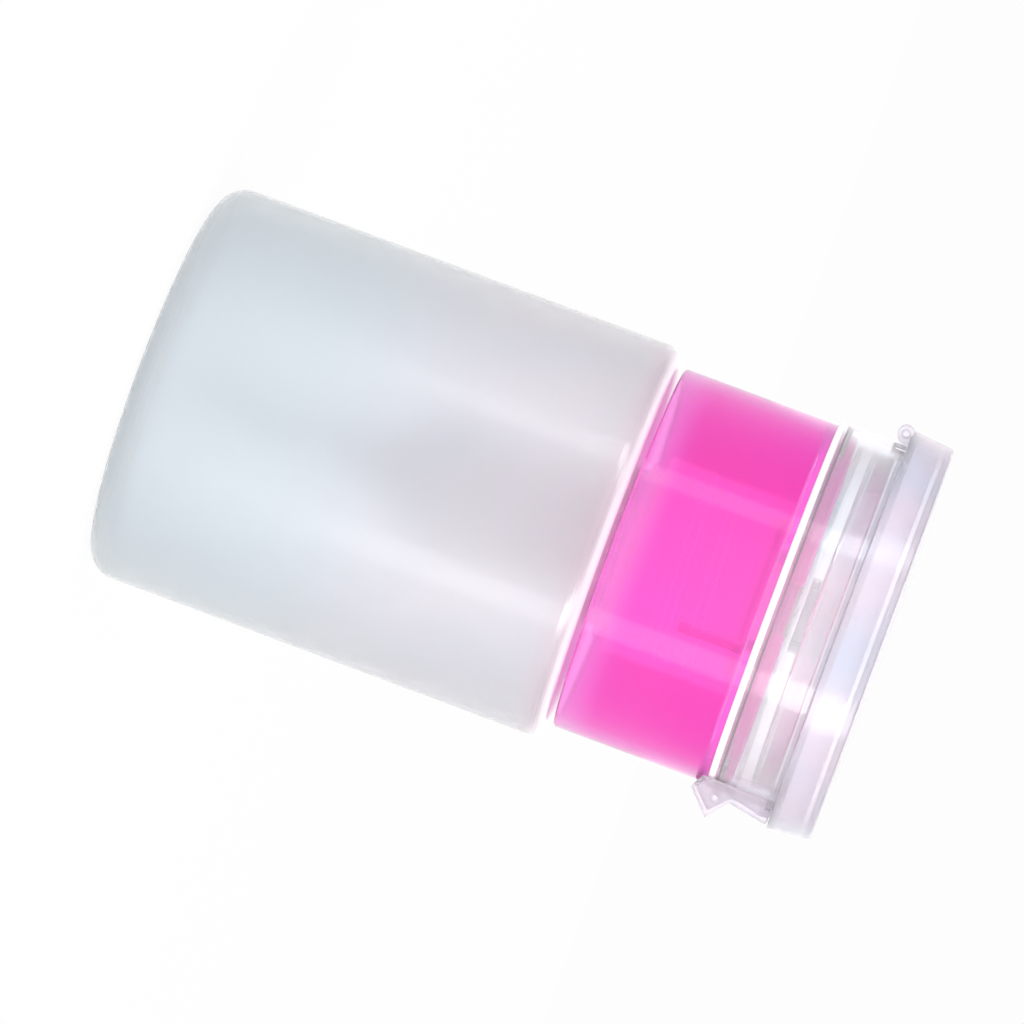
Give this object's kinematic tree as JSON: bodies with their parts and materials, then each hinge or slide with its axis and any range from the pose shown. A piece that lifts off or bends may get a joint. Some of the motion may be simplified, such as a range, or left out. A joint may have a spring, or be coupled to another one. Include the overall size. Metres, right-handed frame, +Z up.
{
  "type": "pump dispenser bottle",
  "caption": "Squat round frosted bottle with a screw-on tinted collar, a press-down dish pump inside a clear ring, and a clear hinged flip lid with a thumb latch.",
  "frame": {"origin": "centre of the face the bottle stands on", "axes": "+Z up through the pump, the lid's hinge on the -X side and its latch on the +X side"},
  "size_m": [0.0661, 0.0642, 0.1182],
  "materials": {
    "frosted_bottle": "frosted, translucent",
    "pink_plastic": "glossy, see-through tint",
    "clear_plastic": "glossy, clear",
    "natural_plastic": "milky, satin",
    "white_plastic": "satin",
    "steel": "stainless, polished",
    "dark_rubber": "matt"
  },
  "bodies": {
    "bottle": {"bottle": "frosted_bottle"},
    "pump_core": {"neck_gasket": "white_plastic", "pump_housing": "natural_plastic", "guide_bush": "white_plastic", "stem_seal": "dark_rubber", "ball_cage": "white_plastic", "dip_tube": "natural_plastic", "return_spring": "steel"},
    "inlet_valve": {"inlet_ball": "steel"},
    "press": {"press_dish": "clear_plastic", "outlet_nozzle": "white_plastic", "pump_stem": "white_plastic", "piston": "white_plastic"},
    "outlet_valve": {"outlet_ball": "steel"},
    "collar": {"screw_collar": "pink_plastic", "lid_ring": "clear_plastic", "lid_pin": "clear_plastic", "latch_pin": "clear_plastic"},
    "lid": {"flip_lid": "clear_plastic"},
    "latch": {"latch_lever": "clear_plastic"}
  },
  "joints": [
    {"name": "head_lift", "type": "slide", "parent": "bottle", "child": "pump_core", "axis": [0, 0, 1], "range_m": [0, 0.0071]},
    {"name": "collar_turn", "type": "hinge", "parent": "pump_core", "child": "collar", "pos_m": [0, 0, 0.09], "axis": [0, 0, 1], "range_deg": [0, 540]},
    {"name": "lid_hinge", "type": "hinge", "parent": "collar", "child": "lid", "pos_m": [-0.03115, 0, 0.1101], "axis": [0, -1, 0], "range_deg": [0, 150]},
    {"name": "latch_tilt", "type": "hinge", "parent": "collar", "child": "latch", "pos_m": [0.0305, 0, 0.10215], "axis": [0, 1, 0], "range_deg": [0, 5], "stiffness_Nm_per_rad": 0.02, "springref_deg": -5.73},
    {"name": "dish_press", "type": "slide", "parent": "pump_core", "child": "press", "axis": [0, 0, 1], "range_m": [-0.0036, 0], "stiffness_N_per_m": 400, "springref_m": 0.006, "deforming": ["return_spring"]},
    {"name": "inlet_ball_lift", "type": "slide", "parent": "pump_core", "child": "inlet_valve", "axis": [0, 0, 1], "range_m": [0, 0.001]},
    {"name": "outlet_ball_lift", "type": "slide", "parent": "press", "child": "outlet_valve", "axis": [0, 0, 1], "range_m": [0, 0.001]}
  ],
  "couplings": [
    {"joint": "head_lift", "follows": "collar_turn", "m_per_rad": 0.00074803}
  ]
}
